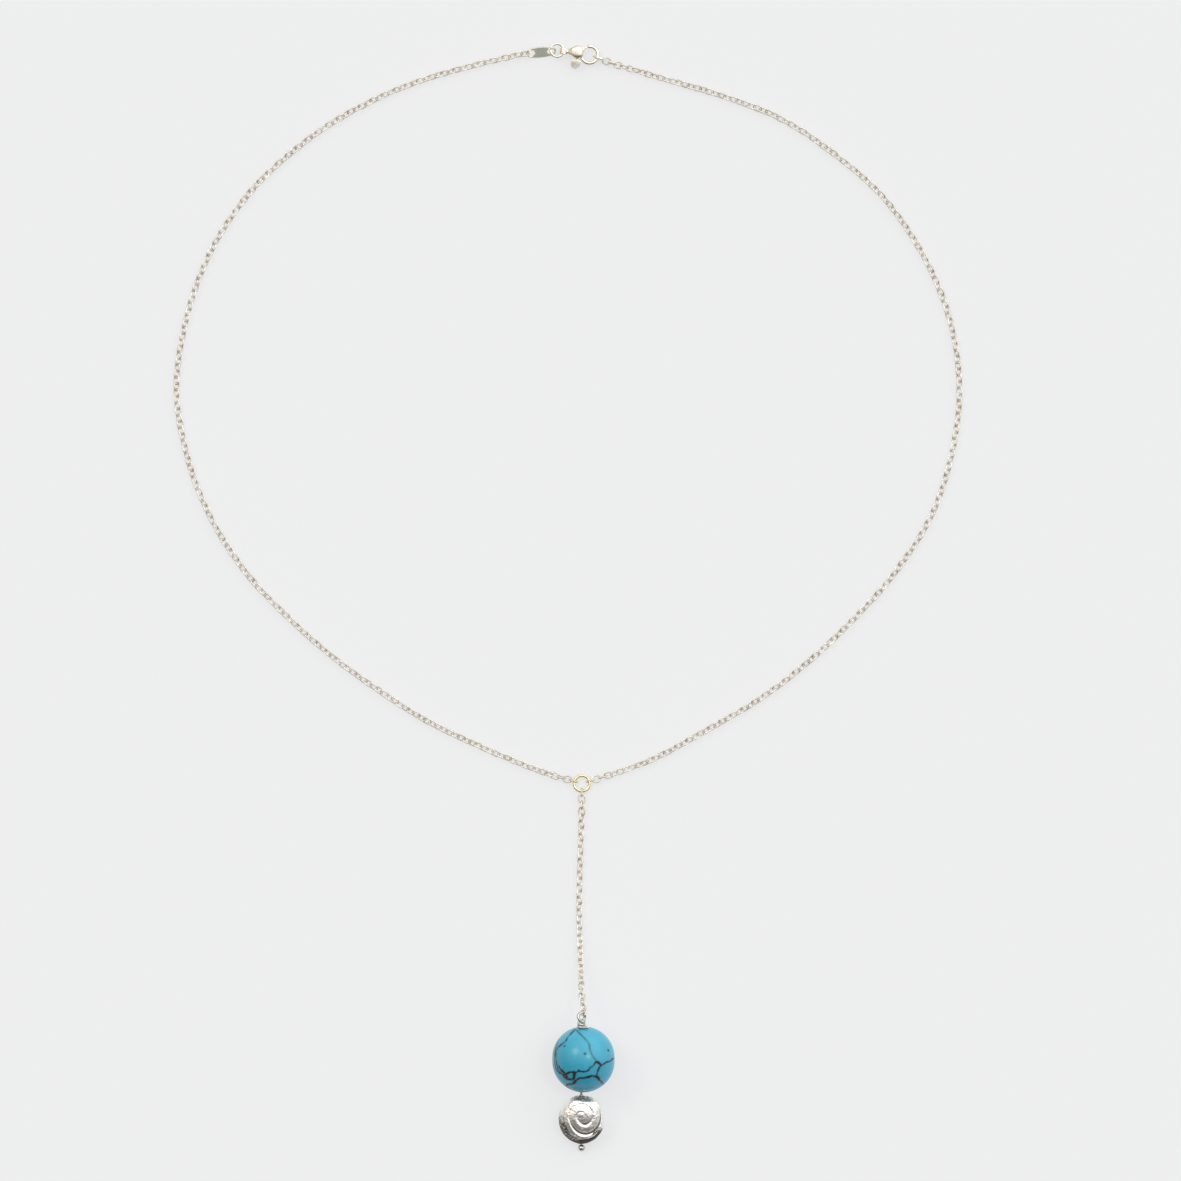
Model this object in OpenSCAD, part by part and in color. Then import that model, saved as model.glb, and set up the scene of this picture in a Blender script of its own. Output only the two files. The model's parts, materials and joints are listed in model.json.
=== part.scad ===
// A y necklace, laid out flat: a fine cable chain closed by a trigger clasp,
// a ring at its front, and under the ring a short drop of the same chain
// with a head pin that carries a turquoise bead and a silver shell bead.
// The clasp is towards +Y, the beads towards -Y, and it lies on the plane z = 0.

/* [Chain] */
// Outer length of one chain link
link_l = 1.95; // [1.75:0.05:2.6]
// Outer width of one chain link
link_w = 1.5; // [1.3:0.05:1.9]
// Diameter of the link wire
link_wire = 0.3; // [0.2:0.02:0.34]
// Free play between two neighbouring links
link_play = 0.12; // [0.1:0.01:0.16]
// Length of the drop chain, from its first link to its last
drop_l = 44; // [36:1:60]
// Slope of the drop chain where it rises to the pin, in degrees
lift_angle = 40; // [25:1:50]
// How far the drop chain bows to the left
drop_bow = 0.5; // [0:0.1:2]

/* [Rings] */
// Outer diameter of the ring at the front of the necklace
y_ring_d = 3.6; // [3.2:0.1:5]
// Wire of the ring at the front
y_ring_wire = 0.58; // [0.4:0.02:0.6]
// Outer diameter of the jump ring in the eye of the clasp
jump_ring_d = 3; // [2.8:0.1:4]
// Wire of the jump ring
jump_ring_wire = 0.5; // [0.36:0.02:0.52]
// Outer diameter of the end ring that the clasp hooks
end_ring_d = 2.8; // [2.6:0.1:4]
// Wire of the end ring
end_ring_wire = 0.45; // [0.35:0.02:0.5]
// Width of the slit in each ring
ring_slit = 0.12; // [0.05:0.01:0.25]

/* [Tag] */
// Length of the tag
tag_l = 5.9; // [5.4:0.1:8]
// Width of the tag
tag_w = 2.6; // [2.4:0.1:3.4]
// Thickness of the tag's plate
tag_t = 0.3; // [0.2:0.02:0.36]
// Diameter of the holes at its two ends
tag_hole = 1.4; // [1.36:0.02:1.5]
// Width of the rim round each hole
tag_rim = 0.35; // [0.25:0.05:0.45]
// Roll of the tag about its length, in degrees
tag_roll = 45; // [40:1:60]

/* [Clasp] */
// From the middle of the eye to the middle of the hook
clasp_reach = 5.1; // [5:0.1:6]
// Radius of the hook, at the middle of its wire
hook_r = 1.62; // [1.5:0.02:1.8]
// Diameter of the hook's wire
hook_wire = 0.72; // [0.5:0.02:0.76]
// Radius of the pear-shaped body
body_r = 1.35; // [1.3:0.05:1.6]
// Thickness of the body
body_t = 2; // [1.7:0.05:2.2]
// Outer diameter of the eye
clasp_eye_d = 1.56; // [1.5:0.02:1.8]
// Hole in the eye
clasp_eye_hole = 0.94; // [0.92:0.02:1]
// Thickness of the eye
clasp_eye_t = 1.1; // [0.8:0.05:1.2]
// Thickness of the lever
lever_t = 0.66; // [0.5:0.02:0.7]
// Diameter of the rivet that the lever turns on
rivet_d = 0.6; // [0.4:0.02:0.64]
// From the rivet to the middle of the thumb tab
tab_reach = 2.5; // [2.5:0.05:2.8]
// Radius of the thumb tab
tab_r = 0.78; // [0.5:0.02:0.8]

/* [Head pin] */
// Diameter of the pin's wire
pin_wire = 0.6; // [0.4:0.02:0.7]
// Diameter of the ball at its end
ball_d = 1.4; // [1.2:0.05:2]
// Outer diameter of the eye loop
pin_eye_d = 2.3; // [2.2:0.05:3]
// Turn of the eye loop about the pin, in degrees
pin_eye_turn = 38; // [20:1:45]
// Length of the cut end that stands out of the wrapping
pin_tail = 0.7; // [0.4:0.05:1]

/* [Turquoise bead] */
// Width of the bead across its hole
bead_w = 12.1; // [10:0.1:14]
// Length of the bead along its hole
bead_l = 12.7; // [10:0.1:15]
// Diameter of the hole
bead_bore = 1.1; // [0.9:0.05:1.4]
// How far the hole runs beside the middle of the bead
bead_bore_off = 0.4; // [0:0.1:1]
// Free space between the two beads, along the pin
bead_gap = 1.15; // [0.6:0.05:2]

/* [Shell bead] */
// Width of the bead across its hole
shell_w = 8.85; // [8:0.05:10]
// Length of the bead along its hole
shell_l = 9.9; // [9:0.1:11]
// Thickness of the bead at its crown
shell_t = 5.2; // [4.4:0.1:6]
// Diameter of the hole
shell_bore = 1; // [0.9:0.05:1.2]
// Height of the spiral ridge
shell_relief = 0.4; // [0.2:0.05:0.6]

/* [Hidden] */
$fn = 40;

// Clearance where one metal piece holds another
seat = 0.06;
// Clearance of the rivet in the lever, all round
rivet_fit = 0.05;
// Clearance of the lever between the two cheeks of the body, on each side
cheek_fit = 0.07;

// The two halves of the chain, as points of the layout seen from above.
// The first and the last point of each half come from the fittings.
LEFT_ROUTE = [
    [-18, 103.5], [-30, 100], [-42, 94.5], [-52.5, 87.5], [-62, 78.5], [-69.5, 67],
    [-74, 54.5], [-76, 41], [-74, 28], [-69.5, 16], [-62.5, 5], [-54, -4],
    [-45.5, -11.5], [-36.5, -18], [-27, -24], [-16.5, -29], [-5.5, -33.5]];
RIGHT_ROUTE = [
    [18, 101], [30, 97.5], [41.5, 93], [52, 86], [61.5, 77.5], [69, 66.5],
    [74, 54.5], [76, 41], [74.5, 28], [70.5, 16], [63.5, 5], [55.5, -4],
    [47, -12], [38, -19], [28, -25], [18, -30.5], [12, -33]];
// The middle of the front ring and of the jump ring, in the same layout
Y_RING_AT = [2.7, -36];
JUMP_RING_AT = [-2.1, 106.3];
// How far the head pin lies to the right of the front ring's middle
PIN_BESIDE = -0.1;
// Directions of the tag and of the clasp in the layout, in degrees
TAG_TILT = 6;
CLASP_TILT = -8;
// Where the end ring hangs on the hook, seen from the middle of the hook
HANG_ANGLE = -12;
// Slope of the chain where it leaves the end ring
SAG_ANGLE = 20;

// Small functions on vectors and numbers
UP = [0, 0, 1];
function unit(v) = v / norm(v);
function flat(v) = [v.x, v.y, 0];
function at_height(p, z) = [p.x, p.y, z];
function compass(angle) = [cos(angle), sin(angle), 0];
function clamp01(t) = max(0, min(1, t));
function smooth(t) = clamp01(t) * clamp01(t) * (3 - 2 * clamp01(t));
function arsinh(v) = ln(v + sqrt(v * v + 1));

// Half the outline of a link, at the middle of its wire, and what follows from it
link_arc_r = (link_w - link_wire) / 2;
link_mid_l = link_l - link_wire;
link_pitch = link_l - 2 * link_wire - link_play;
// Height of the middle of a link that lies rolled by an angle
function rolled_height(roll) = link_arc_r * abs(sin(roll)) + link_wire / 2;
chain_z = rolled_height(45);
// From the middle of a ring's wire to the middle of the link that it holds,
// where the wire may lie to one side of the link's middle
link_bend_r = link_arc_r - link_wire / 2;
function link_hold(wire, beside = 0) =
    (link_l - link_w) / 2
    + sqrt(max(0, pow(link_bend_r - wire / 2 - seat, 2) - pow(beside, 2)));

// A curve through chosen points, with a number of steps between two of them
function curve_point(a, b, c, d, t) =
    (2 * b + (c - a) * t + (2 * a - 5 * b + 4 * c - d) * t * t
     + (3 * b - a - 3 * c + d) * t * t * t) / 2;
function curve(points, steps) =
    let (last = len(points) - 1)
    concat([for (i = [0:last - 1], k = [0:steps - 1])
               lying(curve_point(points[max(i - 1, 0)], points[i], points[i + 1],
                                 points[min(i + 2, last)], k / steps))],
           [points[last]]);
function lying(p) = at_height(p, max(p.z, chain_z));

// Height of the clasp group: the thicker of the clasp and the rolled tag
tag_end_r = tag_hole / 2 + tag_rim;
tag_boss_t = tag_t + 0.1;
fit_z = max(body_t / 2, tag_w / 2 * sin(tag_roll) + tag_boss_t / 2 * cos(tag_roll));

// The clasp's frame: its eye is the origin, its hook lies towards +X
jump_mid_r = (jump_ring_d - jump_ring_wire) / 2;
clasp_at = at_height(JUMP_RING_AT, fit_z) + jump_mid_r * compass(CLASP_TILT);
hook_at = clasp_at + clasp_reach * compass(CLASP_TILT);

// The tag's frame: its middle is the origin, its length runs along X
tag_hole_x = tag_l / 2 - tag_end_r;
tag_right_hole = at_height(JUMP_RING_AT, fit_z) - jump_mid_r * compass(TAG_TILT);
tag_at = tag_right_hole - tag_hole_x * compass(TAG_TILT);
tag_left_hole = tag_at - tag_hole_x * compass(TAG_TILT);
tag_normal = cos(tag_roll) * UP + sin(tag_roll) * compass(TAG_TILT - 90);
tag_link_way = -compass(TAG_TILT);
tag_link_bite = link_bend_r - sqrt(pow(link_bend_r - seat, 2) - pow(tag_boss_t / 2, 2));
tag_link_at = tag_left_hole
    + (tag_hole / 2 - tag_link_bite - link_wire / 2 + link_mid_l / 2) * tag_link_way;

// The end ring stands upright on the hook
end_mid_r = (end_ring_d - end_ring_wire) / 2;
end_ring_z = max(end_ring_d / 2, fit_z);
end_way = compass(CLASP_TILT + HANG_ANGLE);
end_play = end_ring_d / 2 - end_ring_wire - hook_wire / 2 - seat;
end_shift = sqrt(max(0.01, pow(end_play, 2) - pow(end_ring_z - fit_z, 2)));
end_ring_at = at_height(hook_at + (hook_r + end_shift) * end_way, end_ring_z);
clasp_link_way = cos(SAG_ANGLE) * end_way - sin(SAG_ANGLE) * UP;
clasp_link_at = end_ring_at + (end_mid_r + link_hold(end_ring_wire)) * clasp_link_way;
clasp_link_normal = cross(cross(UP, end_way), clasp_link_way);

// The front ring rests on the three links that it holds, which stand upright
y_mid_r = (y_ring_d - y_ring_wire) / 2;
y_ring_at = at_height(Y_RING_AT, link_wire + seat + y_ring_wire / 2);
y_link_z = rolled_height(90);
y_link_r = y_mid_r + link_hold(y_ring_wire, y_link_z - y_ring_at.z);
y_left_way = unit(flat(LEFT_ROUTE[len(LEFT_ROUTE) - 1] - Y_RING_AT));
y_right_way = unit(flat(RIGHT_ROUTE[len(RIGHT_ROUTE) - 1] - Y_RING_AT));
y_left_link_at = at_height(Y_RING_AT, y_link_z) + y_link_r * y_left_way;
y_right_link_at = at_height(Y_RING_AT, y_link_z) + y_link_r * y_right_way;

// Each half of the chain runs from the link at its fitting to the link at the front ring
link_end = link_l / 2 + seat;
left_path = curve(concat([tag_link_at + link_end * tag_link_way],
                         [for (p = LEFT_ROUTE) at_height(p, chain_z)],
                         [y_left_link_at + link_end * y_left_way]), 2);
right_path = curve(concat([clasp_link_at + link_end * clasp_link_way],
                          [for (p = RIGHT_ROUTE) at_height(p, chain_z)],
                          [y_right_link_at + link_end * y_right_way]), 2);

// The outline of the shell bead: direction from the hole's middle in degrees,
// and the radius as a share of an ellipse of the bead's width and length
SHELL_OUTLINE = [
    [0, 1.00], [25, 1.00], [48, 1.08], [70, 1.03], [90, 1.01], [108, 1.04],
    [129, 0.98], [151, 1.02], [180, 1.00], [202, 0.98], [223, 0.97], [250, 0.95],
    [270, 0.98], [289, 0.96], [316, 0.98], [338, 1.00], [360, 1.00]];
// The spiral ridge: its angle from the inner end outwards in degrees,
// and its distance from the spiral's middle as a share of half the bead's width
SHELL_SPIRAL = [
    [0, 0], [110, 0.20], [200, 0.35], [290, 0.48], [380, 0.58], [450, 0.61],
    [530, 0.69], [590, 0.76], [640, 0.90], [700, 0.91], [790, 0.93], [1150, 1.4]];
// The spiral's middle as shares of half the bead's width and of half its length
SHELL_EYE = [0.05, 0.17];
SHELL_SIDES = 72;
SHELL_FACE_RINGS = 26;
SHELL_BACK_RINGS = 8;
SHELL_PUFF = 2.3;

// The value of a table at an angle, with straight lines between its rows
function table_value(rows, angle, i = 0) =
    i >= len(rows) - 2 || angle <= rows[i + 1][0]
    ? rows[i][1] + (rows[i + 1][1] - rows[i][1])
      * (angle - rows[i][0]) / (rows[i + 1][0] - rows[i][0])
    : table_value(rows, angle, i + 1);
function shell_rim(angle) =
    table_value(SHELL_OUTLINE, angle)
    / sqrt(pow(2 * cos(angle) / shell_w, 2) + pow(2 * sin(angle) / shell_l, 2));
shell_eye = [SHELL_EYE.x * shell_w / 2, SHELL_EYE.y * shell_l / 2];
// How far the bead's edge is from the spiral's middle in a direction
function shell_reach(angle, lo = 0, hi = 20, n = 14) =
    let (mid = (lo + hi) / 2,
         p = shell_eye + mid * [cos(angle), sin(angle)],
         inside = norm(p) < shell_rim((atan2(p.y, p.x) + 360) % 360))
    n == 0 ? mid : shell_reach(angle, inside ? mid : lo, inside ? hi : mid, n - 1);
// Height of the smooth crown at a place on the bead
function shell_crown(p) =
    let (share = norm(p) / shell_rim((atan2(p.y, p.x) + 360) % 360))
    (shell_t / 2 - shell_relief) * pow(max(0, 1 - pow(share, SHELL_PUFF)), 0.5);
// Height of the ridge over the crown, from 0 in a groove to 1 on the ridge.
// Each whorl falls gently outwards from its ridge, then rises steeply to the next.
// The groove starts shallow at the spiral's middle.
function spiral_r(turn) = shell_w / 2 * table_value(SHELL_SPIRAL, max(0, turn));
function ridge(angle, r) =
    let (turn = [for (k = [0:3]) if (spiral_r(angle + 360 * k) > r) angle + 360 * k][0],
         outer = spiral_r(turn),
         inner = spiral_r(turn - 360),
         share = (r - inner) / (outer - inner),
         drop = share < 0.7 ? smooth(share / 0.7) : smooth((1 - share) / 0.3))
    1 - drop * smooth(turn / 240);
function shell_face(angle, share) =
    let (reach = shell_reach(angle),
         r = reach * sin(90 * share),
         p = shell_eye + r * [cos(angle), sin(angle)],
         fade = smooth((1 - share) * 5))
    [p.x, p.y, shell_crown(p) + shell_relief * fade * ridge(angle, r)];
function shell_back(angle, share) =
    let (p = shell_eye + shell_reach(angle) * sin(90 * share) * [cos(angle), sin(angle)])
    [p.x, p.y, -shell_crown(p)];
shell_face_points = [for (k = [SHELL_FACE_RINGS - 1:-1:1], i = [0:SHELL_SIDES - 1])
                        shell_face(360 * i / SHELL_SIDES, k / SHELL_FACE_RINGS)];
shell_rim_points = [for (i = [0:SHELL_SIDES - 1]) shell_face(360 * i / SHELL_SIDES, 1)];
shell_back_points = [for (k = [SHELL_BACK_RINGS - 1:-1:1], i = [0:SHELL_SIDES - 1])
                        shell_back(360 * i / SHELL_SIDES, k / SHELL_BACK_RINGS)];
shell_top_point = shell_face(0, 0);
shell_low_point = shell_back(0, 0);

// Places along the pin, measured from the middle of the turquoise bead to the eye
bead_r = bead_w / 2;
// The bead is a ball, drawn out if it is long, and ground flat round each end of its hole
BEAD_FLAT = 0.05;
bead_stretch = max(0.01, bead_l / 2 + BEAD_FLAT - bead_r);
wrap_mid_r = pin_wire * 0.94;
// The cutter leaves the wire's end a little thinner
TAIL_PINCH = 0.92;
wrap_at = [bead_l / 2 + seat + pin_wire / 2, bead_l / 2 + seat + pin_wire * 1.45];
pin_eye_r = (pin_eye_d - pin_wire) / 2;
pin_eye_at = wrap_at[1] + pin_wire * 0.9 + pin_eye_r;
shell_at = -(bead_l / 2 + bead_gap + shell_l / 2);
ball_at = shell_at - shell_l / 2 - ball_d / 2;

// The pin tilts until the shell bead's edge touches what the turquoise bead rests on
function pin_height(tilt) = bead_r + bead_stretch * sin(tilt);
shell_keel = [for (k = [0:24]) let (share = k / 24)
                 [shell_at - shell_rim(270) * sin(90 * share),
                  -shell_crown([0, -shell_rim(270) * sin(90 * share)])]];
function shell_low(tilt) = min([for (p = shell_keel) p.x * sin(tilt) + p.y * cos(tilt)]);
function find_tilt(lo = 0, hi = 45, n = 16) =
    let (mid = (lo + hi) / 2, floats = pin_height(mid) + shell_low(mid) > 0)
    n == 0 ? lo : find_tilt(floats ? mid : lo, floats ? hi : mid, n - 1);
pin_tilt = find_tilt();

// The eye loop, and the last link of the drop chain in it
pin_way = [0, cos(pin_tilt), sin(pin_tilt)];
pin_face = [0, -sin(pin_tilt), cos(pin_tilt)];
drop_count = 2 * round(drop_l / link_pitch / 2) + 1;
pin_eye_normal = cos(pin_eye_turn) * pin_face + sin(pin_eye_turn) * [1, 0, 0];
lift_way = [0, cos(lift_angle), -sin(lift_angle)];
lift_hold = unit(lift_way - (lift_way * pin_eye_normal) * pin_eye_normal);
last_link_normal = cross(pin_eye_normal, lift_hold);
last_link_from_eye = pin_eye_r * lift_hold + link_hold(pin_wire) * lift_way;

// The drop chain lies on the surface, then rises to the eye in a hanging curve
drop_path_l = (drop_count - 1) * link_pitch;
last_link_z = pin_height(pin_tilt) + pin_eye_at * sin(pin_tilt) + last_link_from_eye.z;
lift_a = (last_link_z - chain_z) / (1 / cos(lift_angle) - 1);
lift_l = lift_a * tan(lift_angle);
lie_l = drop_path_l - lift_l;
last_roll = atan2(last_link_normal.x, last_link_normal.z / cos(lift_angle));
TWIST_L = 8;
// The last links swing over to where the eye holds them
SWING_L = 4;
drop_swing = PIN_BESIDE + last_link_from_eye.x;
function drop_roll(s) =
    45 + 45 * (1 - smooth(s / TWIST_L))
    + ((last_roll + 360) % 180 - 45) * smooth(1 - (drop_path_l - s) / TWIST_L);
function drop_point(s) =
    let (lifted = max(0, s - lie_l),
         plan = min(s, lie_l) + lift_a * arsinh(lifted / lift_a),
         resting = s < lie_l ? rolled_height(drop_roll(s - link_pitch / 2)) : chain_z,
         swing = drop_swing * smooth(1 - (drop_path_l - s) / SWING_L))
    [Y_RING_AT.x + swing - drop_bow * pow(sin(180 * s / drop_path_l), 2),
     Y_RING_AT.y - y_link_r - plan,
     resting + lift_a * (sqrt(1 + pow(lifted / lift_a, 2)) - 1)];
drop_end = drop_point(drop_path_l);
bead_at = [drop_end.x - last_link_from_eye.x,
           drop_end.y - last_link_from_eye.y - pin_eye_at * cos(pin_tilt),
           pin_height(pin_tilt)];

// The tube that stands for a chain: a ring of points at each point of the path
TUBE_SIDES = 8;
tube_r = chain_z / cos(180 / TUBE_SIDES);
function tube_points(path) =
    [for (i = [0:len(path) - 1])
        let (way = unit(path[min(i + 1, len(path) - 1)] - path[max(i - 1, 0)]),
             side = unit(cross(UP, way)),
             top = cross(way, side))
        for (k = [0:TUBE_SIDES - 1])
            let (angle = (k + 0.5) * 360 / TUBE_SIDES)
            path[i] + tube_r * (cos(angle) * side + sin(angle) * top)];
left_tube = tube_points(left_path);
right_tube = tube_points(right_path);

// The layout is moved so that the middle of its box stands on the origin
layout_west = min([for (p = left_tube) p.x]);
layout_east = max([for (p = right_tube) p.x]);
layout_north = max(JUMP_RING_AT.y + jump_ring_d / 2, hook_at.y + hook_r + hook_wire / 2);
layout_south = bead_at.y + ball_at * cos(pin_tilt) - ball_d / 2;
layout_mid = [(layout_west + layout_east) / 2, (layout_south + layout_north) / 2, 0];

// Faces between rings of points, each ring with the same number of sides
function band(a, b, sides) =
    [for (i = [0:sides - 1]) let (j = (i + 1) % sides)
        each [[a + i, b + i, b + j], [a + i, b + j, a + j]]];

// Places its children by a middle, a direction for X and a normal for Z
module place(at, way, normal) {
    side = cross(normal, way);
    multmatrix([[way.x, side.x, normal.x, at.x],
                [way.y, side.y, normal.y, at.y],
                [way.z, side.z, normal.z, at.z]]) children();
}

module layout() {
    translate(-layout_mid) children();
}

// One oval link of round wire, its length along X
module link() {
    straight = link_l - link_w;
    for (end = [-1, 1]) {
        translate([end * straight / 2, 0, 0])
            rotate([0, 0, -90 * end])
                rotate_extrude(angle = 180)
                    translate([link_arc_r, 0]) circle(d = link_wire);
        translate([-straight / 2, end * link_arc_r, 0])
            rotate([0, 90, 0]) cylinder(d = link_wire, h = straight);
    }
}

// A split ring in the XY plane, its slit towards an angle
module split_ring(outer_d, wire, slit_at) {
    mid_r = (outer_d - wire) / 2;
    slit = ring_slit / mid_r * 180 / PI;
    rotate([0, 0, slit_at + slit / 2])
        rotate_extrude(angle = 360 - slit)
            translate([mid_r, 0]) circle(d = wire);
}

module chain_tube(points) {
    rings = len(points) / TUBE_SIDES;
    last = (rings - 1) * TUBE_SIDES;
    polyhedron(points = points,
               faces = concat(
                   [[for (k = [0:TUBE_SIDES - 1]) k]],
                   [for (i = [0:rings - 2])
                       each band(i * TUBE_SIDES, (i + 1) * TUBE_SIDES, TUBE_SIDES)],
                   [[for (k = [TUBE_SIDES - 1:-1:0]) last + k]]));
}

module chain_left() {
    color("gainsboro") layout() chain_tube(left_tube);
}

module chain_right() {
    color("gainsboro") layout() chain_tube(right_tube);
}

module drop_chain() {
    color("gainsboro") layout()
        for (i = [0:drop_count - 1]) {
            s = i * link_pitch;
            way = unit(drop_point(s + link_pitch / 2) - drop_point(s - link_pitch / 2));
            side = unit(cross(UP, way));
            roll = drop_roll(s) + 90 * (i % 2);
            place(drop_point(s), way, cos(roll) * cross(way, side) + sin(roll) * side)
                link();
        }
}

module tag_link() {
    color("gainsboro") layout()
        place(tag_link_at, tag_link_way, cross(tag_link_way, tag_normal)) link();
}

module clasp_link() {
    color("gainsboro") layout()
        place(clasp_link_at, clasp_link_way, clasp_link_normal) link();
}

module y_link_left() {
    color("gainsboro") layout()
        place(y_left_link_at, y_left_way, cross(UP, y_left_way)) link();
}

module y_link_right() {
    color("gainsboro") layout()
        place(y_right_link_at, y_right_way, cross(UP, y_right_way)) link();
}

module y_ring() {
    color("palegoldenrod") layout()
        translate(y_ring_at) split_ring(y_ring_d, y_ring_wire, 40);
}

module jump_ring() {
    color("silver") layout()
        translate(at_height(JUMP_RING_AT, fit_z))
            split_ring(jump_ring_d, jump_ring_wire, 250);
}

module end_ring() {
    color("silver") layout()
        place(end_ring_at, end_way, cross(end_way, UP))
            split_ring(end_ring_d, end_ring_wire, 90);
}

// The tag's plate: two end circles joined by long arcs that touch them
module tag_outline() {
    arc_r = (pow(tag_hole_x, 2) / (tag_w / 2 - tag_end_r) + tag_end_r + tag_w / 2) / 2;
    arc_y = arc_r - tag_w / 2;
    touch_x = tag_hole_x * arc_r / (arc_r - tag_end_r);
    for (side = [-1, 1])
        translate([side * tag_hole_x, 0]) circle(r = tag_end_r);
    intersection() {
        translate([0, arc_y]) circle(r = arc_r);
        translate([0, -arc_y]) circle(r = arc_r);
        square([2 * touch_x, 2 * tag_w], center = true);
    }
}

module chain_tag() {
    color("darkgray") layout()
        translate(tag_at) rotate([0, 0, TAG_TILT]) rotate([tag_roll, 0, 0])
            difference() {
                union() {
                    linear_extrude(height = tag_t, center = true) tag_outline();
                    for (side = [-1, 1])
                        translate([side * tag_hole_x, 0, 0])
                            cylinder(r = tag_end_r, h = tag_boss_t, center = true);
                }
                for (side = [-1, 1])
                    translate([side * tag_hole_x, 0, 0])
                        cylinder(d = tag_hole, h = 2 * tag_boss_t, center = true);
            }
}

// Places in the clasp's own frame
BODY_LEAN = 4;
BODY_BLEND = 30;
NECK_R = 0.42;
HOOK_ROOT = -152;
HOOK_TIP = 100;
// The tip is a ball a little thicker than the hook's wire
HOOK_BULB = 1.06;
GATE_GAP = 3;
GATE_ROOT = 150;
body_x = clasp_reach - hook_r - 0.75;
pivot = [body_x - 0.18, 0.25];
lever_hub_r = rivet_d / 2 + 0.3;
lever_w = 0.5;
slot_w = lever_t + 2 * cheek_fit;
TAB_ANGLE = -89;

module clasp_frame() {
    layout() translate(clasp_at) rotate([0, 0, CLASP_TILT]) children();
}

// The pear: a cone that runs into a ball, cut flat on both sides
module clasp_pear() {
    neck_x = clasp_eye_d / 2 + 0.05;
    cone_end = body_x - body_r * sin(BODY_BLEND);
    intersection() {
        rotate([0, 0, BODY_LEAN]) union() {
            translate([body_x, 0, 0]) sphere(r = body_r);
            translate([neck_x, 0, 0]) rotate([0, 90, 0])
                cylinder(r1 = NECK_R, r2 = body_r * cos(BODY_BLEND), h = cone_end - neck_x);
        }
        translate([0, -2 * body_r, -body_t / 2])
            cube([2 * clasp_reach, 4 * body_r, body_t]);
    }
}

// What the lever sweeps inside the body, from the side
module lever_slot() {
    translate(pivot) {
        circle(r = lever_hub_r + 0.12);
        polygon([[0.34, 0], [0.3, -body_r - 0.8], [-1.5, -body_r - 0.8], [-0.45, 0.2]]);
        polygon([[-0.25, 0.5], [-0.25, 1.6], [1.7, 1.6], [1.7, -0.38], [0, -0.38]]);
    }
}

module clasp_body() {
    color("silver") clasp_frame()
        difference() {
            union() {
                difference() {
                    clasp_pear();
                    translate([clasp_reach, 0, -body_t])
                        cylinder(r = hook_r - hook_wire / 2, h = 2 * body_t);
                    translate([0, 0, -slot_w / 2])
                        linear_extrude(height = slot_w) lever_slot();
                }
                translate([clasp_reach, 0, 0])
                    rotate([0, 0, HOOK_ROOT])
                        rotate_extrude(angle = HOOK_TIP - HOOK_ROOT)
                            translate([hook_r, 0]) circle(d = hook_wire);
                translate([clasp_reach, 0, 0]) rotate([0, 0, HOOK_TIP])
                    translate([hook_r, 0, 0]) sphere(d = hook_wire * HOOK_BULB);
                rotate([90, 0, 0]) cylinder(d = clasp_eye_d, h = clasp_eye_t, center = true);
                translate([clasp_eye_hole / 2 + 0.12, 0, 0]) rotate([0, 90, 0])
                    cylinder(r = NECK_R, h = clasp_eye_d / 2 - clasp_eye_hole / 2 + 0.2);
            }
            rotate([90, 0, 0])
                cylinder(d = clasp_eye_hole, h = 2 * clasp_eye_t, center = true);
            translate([pivot.x, pivot.y, -body_t])
                cylinder(d = rivet_d + 0.04, h = 2 * body_t);
        }
}

module clasp_rivet() {
    color("silver") clasp_frame()
        translate([pivot.x, pivot.y, 0])
            cylinder(d = rivet_d, h = body_t + 0.06, center = true);
}

// The lever from the side: hub, arm, gate and thumb tab
module lever_outline() {
    arm_way = [clasp_reach, 0] + hook_r * [cos(GATE_ROOT), sin(GATE_ROOT)] - pivot;
    translate(pivot) {
        circle(r = lever_hub_r);
        rotate(atan2(arm_way.y, arm_way.x))
            translate([0, -lever_w / 2]) square([norm(arm_way), lever_w]);
        rotate(TAB_ANGLE)
            translate([0, -lever_w / 2]) square([tab_reach, lever_w]);
    }
    translate([clasp_reach, 0]) {
        gate_tip = HOOK_TIP + asin(hook_wire / 2 / hook_r) + asin(lever_w / 2 / hook_r)
            + GATE_GAP;
        intersection() {
            difference() {
                circle(r = hook_r + lever_w / 2);
                circle(r = hook_r - lever_w / 2);
            }
            polygon([[0, 0],
                     3 * hook_r * [cos(gate_tip), sin(gate_tip)],
                     3 * hook_r * [cos(GATE_ROOT), sin(GATE_ROOT)]]);
        }
        for (angle = [gate_tip, GATE_ROOT])
            translate(hook_r * [cos(angle), sin(angle)]) circle(d = lever_w);
    }
}

module clasp_lever() {
    color("silver") clasp_frame()
        difference() {
            union() {
                translate([0, 0, -lever_t / 2])
                    linear_extrude(height = lever_t) lever_outline();
                translate(pivot) rotate(TAB_ANGLE) translate([tab_reach, 0, 0])
                    cylinder(r = tab_r, h = lever_t + 0.44, center = true);
            }
            translate([pivot.x, pivot.y, -body_t])
                cylinder(d = rivet_d + 2 * rivet_fit, h = 2 * body_t);
        }
}

// The pendant's frame: the pin is the Y axis, the bead's middle the origin
module pin_frame() {
    layout() translate(bead_at) rotate([pin_tilt, 0, 0]) children();
}

module along_pin(from, to, d) {
    translate([0, from, 0]) rotate([-90, 0, 0]) cylinder(d = d, h = to - from);
}

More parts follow.
